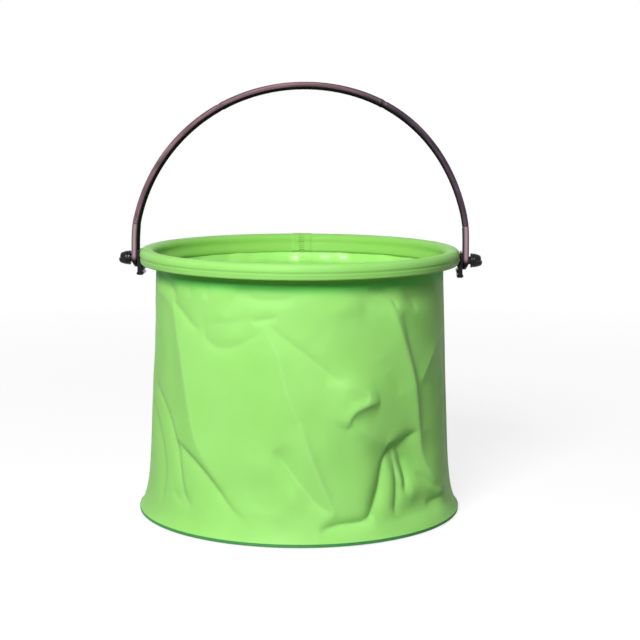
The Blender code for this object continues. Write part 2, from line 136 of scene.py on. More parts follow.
def closed_skin(name, *grids, joined=False, sharp=40.0):
    """One object with a closed surface over each grid, whose rows of points are loops.

    The last row joins the first one where joined, and otherwise a flat face closes each end.
    A surface's faces are all turned round if the volume inside it, the sum of its corners'
    triple products, comes out negative.
    """
    points = np.concatenate([grid.reshape(-1, 3) for grid in grids])
    faces, passed = [], 0
    for grid in grids:
        rows, around = grid.shape[:2]
        order = np.arange(rows * around).reshape(rows, around) + passed
        passed += rows * around
        low = order if joined else order[:-1]
        high = np.roll(order, -1, axis=0) if joined else order[1:]
        quads = np.stack([low, np.roll(low, -1, axis=1), np.roll(high, -1, axis=1), high], axis=-1)
        quads = quads.reshape(-1, 4)
        start = points[order[0, 0]]
        a, b, c, d = (points[quads[:, k]] - start for k in range(4))
        inside = (a * (np.cross(b, c) + np.cross(c, d))).sum()
        ends = () if joined else ((order[0], -1), (order[-1], 1))
        for loop, sign in ends:
            e, f = points[loop[1:-1]] - points[loop[0]], points[loop[2:]] - points[loop[0]]
            inside += sign * ((points[loop[0]] - start) * np.cross(e, f)).sum()
        skin = quads.tolist() + [loop[::sign].tolist() for loop, sign in ends]
        faces += [face[::-1] for face in skin] if inside < 0 else skin
    return smooth_object(name, points, faces, sharp)


def even(points, gap):
    """A line through the points in straight runs, cut into steps of about gap each."""
    points = np.array(points, float)
    length = np.concatenate([[0], np.cumsum(np.linalg.norm(np.diff(points, axis=0), axis=1))])
    spots = np.linspace(0, length[-1], max(2, round(length[-1] / gap) + 1))
    spots = np.unique(np.concatenate([spots, length]))
    return np.stack([np.interp(spots, length, points[:, k]) for k in range(points.shape[1])], axis=1)


def turned(line, azimuths):
    """Turn a line of radius and height round Z: radius times cosine and sine, and height."""
    radius, height = line[:, None, 0], line[:, None, 1]
    return np.stack(
        [radius * np.cos(azimuths), radius * np.sin(azimuths), height + 0 * azimuths], axis=-1
    )


def painted(tree, amount, color):
    """Blend the material's colour so far into another one, by an amount from 0 to 1."""
    socket = tree.nodes["Principled BSDF"].inputs["Base Color"]
    tree.links.new(blended(tree, amount, socket.links[0].from_socket, color), socket)


def stored(tree, name):
    """The number that the mesh keeps for each point under a name."""
    node = tree.nodes.new("ShaderNodeAttribute")
    node.attribute_name = name
    return node.outputs["Fac"]


def length_of(tree, place, kept=(1, 1, 1)):
    """The length of a place's coordinates, each of them first multiplied by 1 or 0."""
    part = tree.nodes.new("ShaderNodeVectorMath")
    part.operation = "MULTIPLY"
    part.inputs[1].default_value = kept
    length = tree.nodes.new("ShaderNodeVectorMath")
    length.operation = "LENGTH"
    tree.links.new(place, part.inputs[0])
    tree.links.new(part.outputs[0], length.inputs[0])
    return length.outputs["Value"]


def sheet_green(name, dark, light, gloss, worn_light):
    """Coated sheet: a calendered grain, a faint orange peel, and whitened folds.

    The colour goes pale by the mesh's worn attribute, which marks the folds. Some light passes
    through the sheet.
    """
    material = plastic(name, dark, light, drift=0.034, gloss=gloss, grain=0.00045, depth=0.000012)
    tree = material.node_tree
    shader = tree.nodes["Principled BSDF"]
    orange_peel = cloud(tree, 0.0075, detail=1.0)
    raised(tree, orange_peel, 0.00012)
    painted(tree, stored(tree, "worn"), worn_light)
    shader.inputs["Specular IOR Level"].default_value = 0.12
    shader.inputs["Subsurface Weight"].default_value = 0.2
    shader.inputs["Subsurface Radius"].default_value = (0.25, 1.0, 0.35)
    shader.inputs["Subsurface Scale"].default_value = 0.0015
    return material


# Radius and height in metres: out along the underside, up round the edge and back on top.
skin_line = even(
    [
        (0.0004, 0.0), (0.0985, 0.0), (0.0997, 0.00012), (0.1008, 0.0004), (0.1014, 0.0008),
        (0.1013, 0.00108), (0.0975, 0.00108), (0.0962, 0.0008), (0.0004, 0.0008),
    ],
    0.004,
)
base_azimuths = np.linspace(0, math.tau, 288, endpoint=False)
bottom_disc = closed_skin("bottom_disc", turned(skin_line, base_azimuths))
base_green = sheet_green("base_sheet", (0.215, 0.600, 0.105), (0.240, 0.640, 0.120),
                         gloss=(0.42, 0.55), worn_light=(0.42, 0.80, 0.28))
tree = base_green.node_tree
place = tree.nodes.new("ShaderNodeTexCoord").outputs["Object"]
# Painted shade: the disc's rolled edge, which faces down, is painted a darker green.
at_edge = ranged(tree, length_of(tree, place, (1, 1, 0)), 0, 1, 0.0994, 0.1004)
base_edge_shade_green = (0.085, 0.33, 0.10)
painted(tree, at_edge, base_edge_shade_green)
bottom_disc.data.materials.append(base_green)
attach(bottom_disc, "base")
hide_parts("bottom_skin")


# The floor
# A second disc of green sheet, laid over the board and stepped down round its edge, where it is
# welded between the bottom skin and the wall's flange. The step shows as a ring inside.
def ripples(azimuths, counts, seed):
    """A wavy line round a circle: sines of the given counts, with drawn sizes and turns."""
    draw = np.random.default_rng(seed)
    sizes, turns = draw.normal(size=len(counts)), draw.uniform(0, math.tau, len(counts))
    waves = [size * np.sin(count * azimuths + turn) for count, size, turn in zip(counts, sizes, turns)]
    return np.sum(waves, axis=0) / math.sqrt(len(counts))


# Radius and height in metres: out along the underside, down over the board's edge, round the
# welded edge, and back up the step and over the top.
floor_line = even(
    [
        (0.0004, 0.0030), (0.0953, 0.0030), (0.0957, 0.0021), (0.0962, 0.00112), (0.1012, 0.00112),
        (0.10145, 0.0015), (0.1012, 0.00192), (0.0995, 0.00192), (0.0982, 0.0017), (0.0972, 0.0018),
        (0.0967, 0.0026), (0.0961, 0.0033), (0.0952, 0.0036), (0.0004, 0.0036),
    ],
    0.003,
)
floor_grid = turned(floor_line, base_azimuths)
# The sheet puckers beside the step: a bell by radius, 6 mm wide about 88 mm, times the size
# of a ripple round the circle, 0.25 mm high.
near_step = np.exp(-(((floor_line[:, 0] - 0.088) / 0.006) ** 2))[:, None]
pucker = np.abs(ripples(base_azimuths, (7, 13, 19, 31, 44), 5)) * 0.00025
floor_grid[..., 2] += near_step * pucker
floor_disc = closed_skin("floor_disc", floor_grid)
floor_disc.data.materials.append(base_green)
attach(floor_disc, "base")
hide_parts("floor_sheet")


# The wall
# One strip of soft green coated sheet, welded into a tube with a lap at the back and turned out
# into a flange at the foot. Folding it flat has left it with the creases that it shows here.
mean_radius = 92  # in mm, of the circle on which degrees round the wall are turned into lengths

# Each fold's row holds its points in degrees from the front and mm of height, then in mm its
# rise, its step across the crest, its widths to the left and right, and its crest's rounding.
FOLDS = (
    (((-57.8, 143.8), (-52.3, 132.5), (-47.4, 112.2), (-42.8, 89.1), (-39.5, 70), (-37.8, 59.6),
     (-34.3, 50.2), (-30.4, 41.1), (-25.6, 29.8)), 3.2, 0, 20, 12.5, 0.8),
    (((-49.5, 55.8), (-39.2, 46.2), (-34.3, 40.6), (-29.7, 33.4), (-24.5, 23.9), (-20, 17), (-16, 15.2)),
     -2.1, 0.3, 9, 2.2, 0.7),
    (((-71.8, 86), (-60.3, 74.9), (-55, 66.6), (-50.2, 54.5), (-48.4, 46.6), (-46.8, 36.1),
     (-44.6, 28.2), (-41.5, 20.3)), -2.6, 0.3, 11, 2.4, 0.7),
    (((-75.9, 72.9), (-64.3, 55.9), (-59.4, 42.5), (-57.7, 29.5), (-57.9, 13.4)), -1.9, 0.2, 10, 2.4, 0.8),
    (((-54.3, 138.9), (-49, 134.5), (-44.5, 129.9), (-41, 125.7), (-37.2, 122.7)), -1, 0.2, 3.5, 3.5, 0.8),
    (((-44.3, 151.9), (-43.5, 141.3)), -0.5, 0, 3, 3, 0.9),
    (((-34.6, 152), (-34.5, 141.4)), -0.7, 0, 3, 3, 0.9),
    (((-34.3, 131.4), (-35.2, 120.7), (-33.2, 117.5), (-29.9, 114.4), (-26.8, 113.7), (-21.8, 115.4),
     (-17, 119.4), (-10.9, 125.1)), -0.9, 0.15, 4, 5, 1),
    (((-15.5, 130.6), (-10.2, 132.1), (-5, 133.5)), -0.9, 0.15, 2.5, 3, 0.8),
    (((-33.3, 127.5), (-21.9, 129.4), (-13.2, 133.1)), -0.5, 0.05, 4, 4, 1),
    (((-9.4, 130.4), (-4.2, 122.5), (3.1, 114.6), (10.4, 105.2), (15.1, 98.6), (20, 92.4)),
     -1.3, 0.12, 6, 3, 0.9),
    (((-10.1, 126.3), (-6.4, 116.1), (-4.1, 108), (-3, 98.8), (-1.5, 88.9), (1, 78.5), (4.6, 66.2)),
     0.9, 0, 9, 9, 1),
    (((3.2, 73.2), (5.7, 59.8), (7.8, 49.2), (10.3, 39.1), (13.1, 28.3), (16.2, 16.5)),
     1.9, -0.3, 9, 3.4, 0.8),
    (((-6.1, 56.6), (0.4, 42.2), (5, 32.2), (8.8, 24.5), (15.1, 17.7)), -2.8, 0.2, 4.2, 7.5, 0.9),
    (((38.4, 150), (39.4, 138.7), (41.2, 129.6), (45, 113.6), (48.6, 97.4), (51.2, 75.1), (53, 58.1),
     (56, 41.7), (62.5, 25.9), (73.4, 11.3)), 5, 0, 9, 20, 0.9),
    (((44.5, 135), (48.5, 112), (51.4, 98), (53.8, 80), (55.5, 60)), -2.6, -0.1, 7, 14, 1.6),
    (((20.2, 68.5), (21.2, 75.5), (23.4, 80), (27, 81.8), (33, 83)), 2.6, 0.5, 5.0, 7.5, 0.9),
    (((22, 72), (28.5, 64), (36.1, 56.7)), 1.2, 0, 6.5, 5, 1.2),
    (((12.5, 93.4), (19.6, 93.6), (25.4, 91.8), (28.6, 87.3), (26.2, 82.3), (21.5, 77)),
     1.1, 0.15, 5, 7, 0.9),
    (((37, 52.4), (41, 53.4), (45, 55.2), (48.7, 57.8), (52.5, 61.2)), -2.9, -0.2, 10.0, 3.6, 0.9),
    (((38.4, 57), (38.2, 53), (35.8, 43), (34, 31.2), (31.8, 21.6), (27.6, 12.6)), -4.6, 0, 5.0, 8.5, 1),
    (((30.4, 15.6), (26.2, 12.2), (21.2, 11.6), (15.8, 11.4), (9.8, 8.2)), -3.6, -0.3, 3.4, 4.2, 0.9),
    (((38.4, 56.6), (41, 51.7), (42.8, 41.4), (43, 29.2), (40.4, 12.8)), -3.7, -0.2, 4.6, 6.0, 1),
    (((41.1, 54.8), (43.4, 41), (46.1, 27.7)), 1.5, 0, 2.2, 3, 0.8),
    (((42.6, 55), (45.2, 49), (48.1, 37.8), (48.6, 31), (46.4, 23.4)), -3.4, -0.2, 4.8, 5.0, 0.9),
    (((48, 37.4), (51.6, 26.6), (47.2, 14.1)), 0.3, 0, 4, 5, 0.9),
    (((53.2, 35.3), (59.7, 27), (69.8, 19.6)), -1.1, 0.05, 2.3, 2.6, 0.7),
    (((72.5, 20.4), (66.6, 15.3), (58.6, 13.3)), -1.1, 0, 2.6, 2.6, 0.7),
    (((69.7, 113.7), (59.9, 102.5), (53.2, 89.4)), 0.8, 0.1, 5, 6, 0.9),
    (((-80.3, 145.8), (-64, 141.4), (-55.8, 135.7)), 0.7, 0, 5, 5, 1),
    (((-15.6, 153.1), (-21.2, 145.2), (-24, 137.9), (-24.4, 132.1)), -0.8, -0.05, 5, 4.5, 1),
    (((-45.2, 24.1), (-39.1, 16.4)), -0.8, 0, 3, 3, 0.8),
    (((-50.8, 23.5), (-42.8, 16.5)), -0.6, 0, 3, 3, 0.8),
    (((-18.9, 18.1), (-10.1, 19.9), (-0.2, 16.5)), 0.4, 0, 5, 5, 1.2),
    (((-70, 153.5), (-62, 150), (-56, 145), (-51, 139)), -1.3, 0, 4, 4, 0.9),
    (((-16, 147.2), (-8, 146.4), (0, 146.6)), 0.7, 0, 2.6, 3, 0.7),
    (((20, 149.5), (28, 143), (36, 135)), -0.6, 0, 5, 5, 1),
    (((44, 151), (50, 143), (53, 133)), -0.9, 0, 4, 4, 0.9),
    (((-22.8, 145), (-11, 141.9), (0.9, 144.6)), -0.8, 0, 5, 5, 2),
    (((29, 149.5), (36.5, 147), (40.4, 142), (41.6, 136)), -1.9, 0, 3.4, 3.8, 0.9),
)
BACK_FOLDS = (
    (((96, 142), (106, 112), (112, 74), (128, 38)), 2.4, 0, 12, 13, 1),
    (((112, 74), (126, 66), (136, 44)), -1.3, 0, 5, 5, 0.8),
    (((140, 128), (133, 96), (138, 58), (130, 24)), -1.4, 0, 7, 7, 1),
    (((150, 140), (158, 116), (152, 88)), 1.1, 0, 7, 9, 0.9),
    (((152, 88), (163, 54), (172, 26)), -1.5, 0, 6, 6, 0.8),
    (((176, 120), (171, 92), (180, 60)), 0.9, 0, 8, 8, 1.2),
    (((-176, 100), (-168, 76), (-172, 40)), -1.2, 0, 5, 6, 0.9),
    (((-160, 132), (-152, 104), (-146, 62), (-134, 30)), 2.2, 0, 11, 12, 1),
    (((-146, 62), (-158, 46), (-162, 22)), -1.2, 0, 4, 5, 0.7),
    (((-126, 138), (-120, 108), (-128, 74), (-118, 36)), -1.5, 0, 7, 7, 1),
    (((-112, 126), (-100, 104), (-96, 70)), 1.3, 0, 7, 7, 0.9),
    (((-96, 70), (-104, 46), (-98, 20)), -1.4, 0, 5, 5, 0.8),
    (((78, 120), (84, 92), (80, 60), (88, 26)), -1.3, 0, 6, 6, 0.9),
    (((104, 60), (98, 40), (103, 18)), -1.1, 0, 4, 4, 0.8),
    (((-84, 132), (-80, 110), (-86, 86)), -0.8, 0, 6, 6, 1),
)
# Each dent's row holds its middle in degrees and mm, its rise, its half width and half height
# in mm, and its turn in degrees.
DENTS = (
    ((37.4, 97.9), 0.4, 9.35, 20.48, -4.78),
    ((25, 84), 2.6, 20, 20, 0),
    ((53, 44), -5.0, 15, 26, 0),
    ((33, 52), -1.8, 8, 10, 0),
    ((46, 13), -3.2, 17, 8, 0),
    ((62, 13), -2.8, 12, 8, 0),
    ((-2, 131), -0.9, 34, 13, 0),
    ((-2.9, 53.8), -0.95, 6.86, 7.35, 29.9),
    ((-15.5, 32.1), -0.73, 7.9, 9.93, 0.16),
    ((-19.1, 87.6), 0.53, 12.32, 15.82, -0.66),
    ((-27, 131.8), 0.66, 9.48, 7.06, -0.02),
    ((-22.6, 120.6), 0.22, 8.07, 4, 1.63),
    ((10.4, 126.6), 0.44, 16.46, 12.48, 0.06),
    ((28.5, 140), -0.54, 5.14, 9.19, 3.66),
    ((19.7, 137.8), 0.65, 9.41, 4.8, 4.31),
    ((52.2, 140.1), -1.12, 14, 6.12, -4.63),
    ((21, 89), 0.9, 8.5, 7.5, -0.49),
    ((3.2, 30.5), 0.72, 9.49, 8.68, 0.29),
    ((19.4, 44.2), -0.64, 10.25, 15.16, -8.13),
    ((13.9, 62.4), 0.37, 7.89, 12.23, -0.51),
    ((-10.4, 44.5), 0.53, 7.86, 8.64, -0.37),
    ((-29.2, 65.4), -0.31, 13.26, 7.99, 18.75),
    ((-51.9, 108.6), -0.98, 10.1, 33.51, 5.65),
    ((45, 48.5), 0.71, 6.11, 4.54, 2.25),
    ((35.3, 32.8), -0.5, 5.03, 19.47, -30.69),
    ((-8, 146.6), -1.46, 19.6, 5.76, -2.23),
    ((3.1, 86.1), 0.54, 13.67, 20.48, -0.82),
    ((30.5, 113.6), 0.26, 9.15, 8.44, 40),
    ((67.6, 19.8), 0.95, 5.87, 4.98, 0.9),
    ((55.3, 18.1), -0.47, 5.85, 5.3, 0.44),
)


def wall_radius(height):
    """The wall's middle line in mm.

    It is 89.5 at the top, plus 5.9 times one less the share of the height to the power 1.15,
    plus a flare at the foot of 5.5 that falls by a factor e every 9.5 mm.
    """
    rise = np.clip((height - 2) / 153.7, 0, 1)
    return 89.5 + 5.9 * (1 - rise) ** 1.15 + 5.5 * np.exp(-(height - 2) / 9.5)


def the_short_way(across):
    """Distances round the wall brought into half a turn to either side of nought."""
    half_turn = math.pi * mean_radius
    return (across + half_turn) % (2 * half_turn) - half_turn


def one_fold(across, height, fold):
    """How far one fold pushes the sheet out, in mm, and how near its crest a point is.

    The fold follows its points, with their corners cut three times at a quarter of each line
    to round them. Its height is e to the minus distance over width, with its own width on the
    left and on the right, faded out at three widths, times the rise plus the step, which
    changes sign across the crest. It is a leaf in plan: one less the cube of the distance from
    the middle, so it is widest there and both ends are points.
    """
    points, rise, step, left, right, crest = fold
    line = np.array(points, float)
    line[:, 0] = np.radians(line[:, 0]) * mean_radius
    for _ in range(3):
        cuts = [0.75 * line[:-1] + 0.25 * line[1:], 0.25 * line[:-1] + 0.75 * line[1:]]
        line = np.vstack([line[:1], np.stack(cuts, 1).reshape(-1, 2), line[-1:]])
    middle = (line[:, 0].min() + line[:, 0].max()) / 2
    across = the_short_way(across - middle) + middle
    reach = 3 * max(left, right)
    near = (np.abs(across - middle) < np.ptp(line[:, 0]) / 2 + reach) & (
        np.abs(height - (line[:, 1].min() + line[:, 1].max()) / 2) < np.ptp(line[:, 1]) / 2 + reach
    )
    pushed, worn = np.zeros(across.shape), np.zeros(across.shape)
    across, height = across[near], height[near]
    runs = np.diff(line, axis=0)
    lengths = np.linalg.norm(runs, axis=1)
    starts = np.concatenate([[0], np.cumsum(lengths)])
    nearest = np.full(across.shape, 1e9)
    side, share = np.zeros(across.shape), np.zeros(across.shape)
    for start, run, length, passed in zip(line, runs, lengths, starts):
        off_across, off_height = across - start[0], height - start[1]
        along = np.clip((off_across * run[0] + off_height * run[1]) / length**2, 0, 1)
        distance = np.hypot(off_across - along * run[0], off_height - along * run[1])
        closer = distance < nearest
        nearest = np.where(closer, distance, nearest)
        turning = np.sign(run[0] * off_height - run[1] * off_across)
        side = np.where(closer, turning * distance, side)
        share = np.where(closer, (passed + along * length) / starts[-1], share)
    leaf = 1 - np.abs(2 * share - 1) ** 3
    width = np.where(side < 0, left, right) * (0.2 + 0.8 * np.sqrt(leaf))
    fall = np.exp(-(np.sqrt(side**2 + crest**2) - crest) / width)
    fall = fall * np.clip(1 - (side / (3 * width)) ** 2, 0, 1) ** 2
    pushed[near] = leaf * fall * (rise + step * np.tanh(side / crest))
    worn[near] = leaf * np.exp(-((side / 0.9) ** 2)) * min(abs(rise), 1.5)
    return pushed, worn


def one_dent(across, height, dent):
    """A soft dent or swelling: a bell over a turned ellipse, e to the minus squared distance."""
    (place, level), rise, half_across, half_up, turn = dent
    cosine, sine = math.cos(math.radians(turn)), math.sin(math.radians(turn))
    over, up = across - math.radians(place) * mean_radius, height - level
    along, beside = over * cosine + up * sine, up * cosine - over * sine
    return rise * np.exp(-((along / half_across) ** 2) - (beside / half_up) ** 2)


def lined_skin(name, outer, inner, sharp):
    """A closed sheet from an outer grid and a lining of every second row and column of it.

    Five-sided faces join the two along the top and the bottom, two outer edges to one inner.
    """
    made = []
    for grid, start in ((outer, 0), (inner, outer.shape[0] * outer.shape[1])):
        order = np.arange(grid.shape[0] * grid.shape[1]).reshape(grid.shape[:2]) + start
        made.append((order, np.roll(order, -1, axis=1)))
    (out, out_next), (lining, lining_next) = made
    faces = np.stack([out[:-1], out_next[:-1], out_next[1:], out[1:]], axis=-1).reshape(-1, 4).tolist()
    faces += np.stack(
        [lining[:-1], lining[1:], lining_next[1:], lining_next[:-1]], axis=-1
    ).reshape(-1, 4).tolist()
    for row, turned_round in ((0, False), (-1, True)):
        last = np.roll(out[row], -2)[::2]
        edge = np.stack(
            [lining[row], lining_next[row], last, out_next[row][::2], out[row][::2]], axis=-1
        )
        faces += (edge[:, ::-1] if turned_round else edge).tolist()
    points = np.concatenate([outer.reshape(-1, 3), inner.reshape(-1, 3)])
    return smooth_object(name, points, faces, sharp)


# The columns of points stand closer together over the 160 degrees at the front. The first two
# rows are the flange's edge, and the others climb from there to the rim.
front = np.concatenate([
    np.linspace(-80, 80, 400, endpoint=False), np.linspace(80, 280, 180, endpoint=False)
])
wall_azimuths = np.radians(front - 90)
front = (front + 180) % 360 - 180
wall_heights = np.concatenate([[2.3, 2.3], 2.3 + 153.1 * np.linspace(0, 1, 131)])
across, height = np.meshgrid(np.radians(front) * mean_radius, wall_heights)
out, worn = np.zeros(across.shape), np.zeros(across.shape)
for fold in FOLDS + BACK_FOLDS:
    pushed, near = one_fold(across, height, fold)
    out += pushed
    worn = np.maximum(worn, near)
for dent in DENTS:
    out += one_dent(across, height, dent)
# Seventy small folds lie all over, drawn at random and straight but for a slight bow.
draw = np.random.default_rng(11)
for _ in range(70):
    spot, lean, span = draw.uniform(-180, 180), draw.uniform(-22, 22), draw.uniform(10, 30)
    level = draw.uniform(18, 138)
    small = (((spot, level + span / 2), (spot + lean / 2, level), (spot + lean, level - span / 2)),
             draw.choice([-1, 1]) * draw.uniform(0.08, 0.3), 0, 5, 5, 1.4)
    out += one_fold(across, height, small)[0]
# The folds fade out in 7 mm over the flange and in 4 mm under the rim. At the back, from 85 to
# 120 degrees from the front, the wall is gathered in under the rim: 1.9 mm, made uneven by
# ripples, times a bell by height about a level that ripples too.
hold = np.clip((height - 3.5) / 7, 0, 1) * np.clip((153.5 - height) / 4, 0, 1)
around = np.radians(front)
gather = 1 + 0.35 * ripples(around, (5, 11, 17, 26, 39), 9)
level = 146.6 + 0.6 * ripples(around, (4, 9, 15, 23, 31), 4)
reach = np.where(height > level, 5.0, 7.0)
pucker = -1.9 * gather * np.exp(-(((height - level) / reach) ** 2))
pucker *= np.clip((np.abs(front) - 85) / 35, 0, 1)
radius = wall_radius(height) + out * hold + pucker * np.clip((154.6 - height) / 1.6, 0, 1)
radius[0], radius[1] = 101.45, 101.25
# The lap's azimuth from the X axis in degrees and half its width in mm. It is 1 there, and
# fades out in 0.6 mm to the sides and before the sheet's two edges.
lap_azimuth, half_lap = 92.2, 6.8
from_lap = the_short_way(across - np.radians(lap_azimuth + 90) * mean_radius)
lap = np.clip((half_lap - np.abs(from_lap)) / 0.6, 0, 1)
lap *= np.clip((152.5 - height) / 1.5, 0, 1) * np.clip((height - 3) / 3, 0, 1)
middle = np.stack([radius * np.cos(wall_azimuths), radius * np.sin(wall_azimuths), height], axis=-1)
# The faces lie 0.3 mm to either side of the middle along the normal, the cross product of the
# steps round the wall and up it, and the lap adds 0.5 mm on the inside. At the flange's edge
# they lie above and below it.
around_step = (np.roll(middle, -1, axis=1) - np.roll(middle, 1, axis=1)) / 2
facing = np.cross(around_step, np.gradient(middle, axis=0))
facing[:3] = facing[4]
facing /= np.linalg.norm(facing, axis=-1, keepdims=True)
outer = middle + facing * 0.3
inner = middle - facing * (0.3 + 0.5 * lap[..., None])
outer[0], inner[0] = middle[0] + (0, 0, 0.12), middle[0] - (0, 0, 0.12)
outer[1], inner[1] = middle[1] + (0, 0, 0.3), middle[1] - (0, 0, 0.28)
wall_tube = lined_skin("wall_tube", outer / 1000, inner[::2, ::2] / 1000, 70)


def store(made, name, values):
    """Keep a number for each point of an object's mesh under a name."""
    attribute = made.data.attributes.new(name, "FLOAT", "POINT")
    attribute.data.foreach_set("value", values.astype(np.float32))


def on_both_faces(values):
    """Values for the wall's points: all of the grid's, then those that its lining keeps."""
    return np.concatenate([values.ravel(), values[::2, ::2].ravel()])


# Worn goes up to a third on the crests. The coat and painted light mark is 1 on the inside above 147 mm,
# the painted base-edge shade lies on the flange's edge, and the painted rim shade is 1 above 151.5 mm, under
# the rim.
store(wall_tube, "worn", np.clip(on_both_faces(worn) * 0.22, 0, 1))
top_inside = np.clip((inner[::2, ::2, 2] - 143) / 4, 0, 1).ravel()
store(wall_tube, "coat_and_painted_light", np.concatenate([np.zeros(outer[..., 0].size), top_inside]))
at_lip = np.zeros(outer.shape[:2])
at_lip[0], at_lip[1] = 1, 0.7
store(wall_tube, "base_edge_shade", on_both_faces(at_lip))
store(wall_tube, "painted_rim_shade", on_both_faces(np.clip((height - 145.5) / 6, 0, 1)))
wall_green = sheet_green("wall_sheet", (0.320, 0.720, 0.165), (0.350, 0.760, 0.190),
                         gloss=(0.42, 0.54), worn_light=(0.47, 0.82, 0.32))


def worked(tree, operation, *values):
    """One maths node over sockets and numbers."""
    node = tree.nodes.new("ShaderNodeMath")
    node.operation = operation
    for socket, value in zip(node.inputs, values):
        if isinstance(value, (int, float)):
            socket.default_value = value
        else:
            tree.links.new(value, socket)
    return node.outputs[0]


def weld_ladder(tree, depth):
    """Press a ladder of weld marks into a sheet along the lap at the back.

    Sideways from the lap, the dot product of X and Y with the direction square to the lap's
    azimuth, the marks are 3 mm wide. Down it they repeat every 2.7 mm as a sine of the height.
    """
    spot = tree.nodes.new("ShaderNodeTexCoord")
    parts = tree.nodes.new("ShaderNodeSeparateXYZ")
    tree.links.new(spot.outputs["Object"], parts.inputs[0])
    x, y, z = (parts.outputs[letter] for letter in "XYZ")
    turn = math.radians(lap_azimuth)
    part_x = worked(tree, "MULTIPLY", x, math.sin(turn))
    part_y = worked(tree, "MULTIPLY", y, -math.cos(turn))
    sideways = worked(tree, "ABSOLUTE", worked(tree, "ADD", part_x, part_y))
    strip = ranged(tree, sideways, 1, 0, 0.0009, 0.0021)
    behind = worked(tree, "GREATER_THAN", y, 0.02)
    rung = worked(tree, "SINE", worked(tree, "MULTIPLY", z, math.tau / 0.0027))
    on_lap = worked(tree, "MULTIPLY", strip, behind)
    raised(tree, worked(tree, "MULTIPLY", on_lap, ranged(tree, rung, 0, 1, -0.4, 0.4)), -depth)


tree = wall_green.node_tree
weld_ladder(tree, 0.0003)
# Painted shade: under the rim the wall is painted a deeper, darker green where the rim's shade falls.
painted(tree, stored(tree, "painted_rim_shade"), (0.165, 0.740, 0.135))
# Painted light: the inner wall below the rim gets a coat and is also painted a lighter green.
coat_and_painted_light = stored(tree, "coat_and_painted_light")
painted(tree, coat_and_painted_light, (0.380, 0.880, 0.170))
# Painted shade: the flange's edge is painted the same darker green as the base disc's edge.
painted(tree, stored(tree, "base_edge_shade"), base_edge_shade_green)
shader = tree.nodes["Principled BSDF"]
tree.links.new(coat_and_painted_light, shader.inputs["Coat Weight"])
shader.inputs["Coat Roughness"].default_value = 0.24
wall_tube.data.materials.append(wall_green)
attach(wall_tube, "base")
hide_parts("wall_sheet")
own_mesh(wall_tube)


# The rim's sleeve
# A strip of the green sheet folded over the hoop and welded to both sides of the wall's top
# edge. A line of weld runs round it low on the outside as a shallow groove with painted shade along it, and
# its ends lap at the back.
hoop_radius, hoop_level = 96, 160.75  # in mm, of the middle of the hoop's tube


def roll(angle):
    """The rim's rounded top: signed powers 0.8 of cosine and sine, times its reach each way."""
    cosine, sine = np.cos(angle), np.sin(angle)
    across = np.where(cosine > 0, 4.0, 5.5) * np.sign(cosine) * np.abs(cosine) ** 0.8
    up = 4.75 * np.sign(sine) * np.abs(sine) ** 0.8
    return np.stack([hoop_radius + across, hoop_level + up], axis=1)


# Radius and height in mm. Outside, the strip goes from its inner lip round the outer lip, over
# the weld's groove and the roll, and down to the lip again; inside, it goes round the hoop.
turns = np.radians(np.linspace(5, 180, 60))
lip_turns = np.radians(np.linspace(-90, 0, 7))
lip = np.stack([98.1 + 1.4 * np.cos(lip_turns), 157.4 + 1.4 * np.sin(lip_turns)], axis=1)
hollow_turns = np.radians(np.linspace(210, -120, 30))
hollow = np.stack([3.3 * np.cos(hollow_turns), 4.05 * np.sin(hollow_turns)], axis=1)
hollow += (hoop_radius, hoop_level)
outside = np.vstack([
    [(90.75, 153.45), (90.8, 155.4), (91.0, 155.85), (91.5, 156.0)],
    lip,
    [(99.6, 158.2), (99.72, 158.9), (99.72, 159.4), (99.66, 159.95), (99.76, 160.5), (99.92, 160.95)],
    roll(turns),
    [
        (90.35, 159.6), (89.95, 158.4), (89.35, 157.3), (88.8, 156.3), (88.45, 155.4),
        (88.35, 154.8), (88.4, 154.3), (88.6, 153.75), (88.9, 153.35),
    ],
])
outside = even(outside, 0.5)
inside = even(
    np.vstack([[(88.98, 153.4), (89.02, 156.0), (89.6, 157.0)], hollow, [(90.1, 156.3), (90.12, 153.4)]]), 1.6
)
sleeve_line = np.vstack([outside, inside])
# The turns start at the lap's middle and are 0.6 mm apart within 9 mm of it.
near_lap = np.linspace(-9, 9, 31) / hoop_radius
away = np.linspace(near_lap[-1], math.tau - near_lap[-1], 300)[1:-1]
sleeve_turns = np.concatenate([near_lap, away])
sleeve_azimuths = sleeve_turns + math.radians(lap_azimuth)
sleeve_grid = turned(sleeve_line, sleeve_azimuths)
# What shows of the strip, all but the few points at its lips, is pushed out along its normal:
# 0.35 mm over the lap, and a ripple of 0.05 mm all round.
run = np.gradient(sleeve_line, axis=0)
normal = np.stack([run[:, 1], -run[:, 0]], axis=1)
normal /= np.linalg.norm(normal, axis=1, keepdims=True)
shown = np.zeros(len(sleeve_line))
shown[6:len(outside) - 4] = 1
lap_across = np.abs((sleeve_turns + math.pi) % math.tau - math.pi) * hoop_radius
lift = 0.35 * np.clip((half_lap - lap_across) / 0.7, 0, 1)
lift = lift + 0.05 * ripples(sleeve_turns, (2, 3, 5, 9, 14, 23), 3)
push = shown[:, None] * lift[None]
sleeve_grid += push[..., None] * turned(normal, sleeve_azimuths)
rim_roll = closed_skin("rim_roll", sleeve_grid / 1000, joined=True, sharp=60)
rim_green = sheet_green("rim_sheet", (0.310, 0.700, 0.160), (0.335, 0.735, 0.180),
                        gloss=(0.40, 0.50), worn_light=(0.47, 0.82, 0.32))
tree = rim_green.node_tree
weld_ladder(tree, 0.0006)
place = tree.nodes.new("ShaderNodeTexCoord").outputs["Object"]
parts = tree.nodes.new("ShaderNodeSeparateXYZ")
tree.links.new(place, parts.inputs[0])
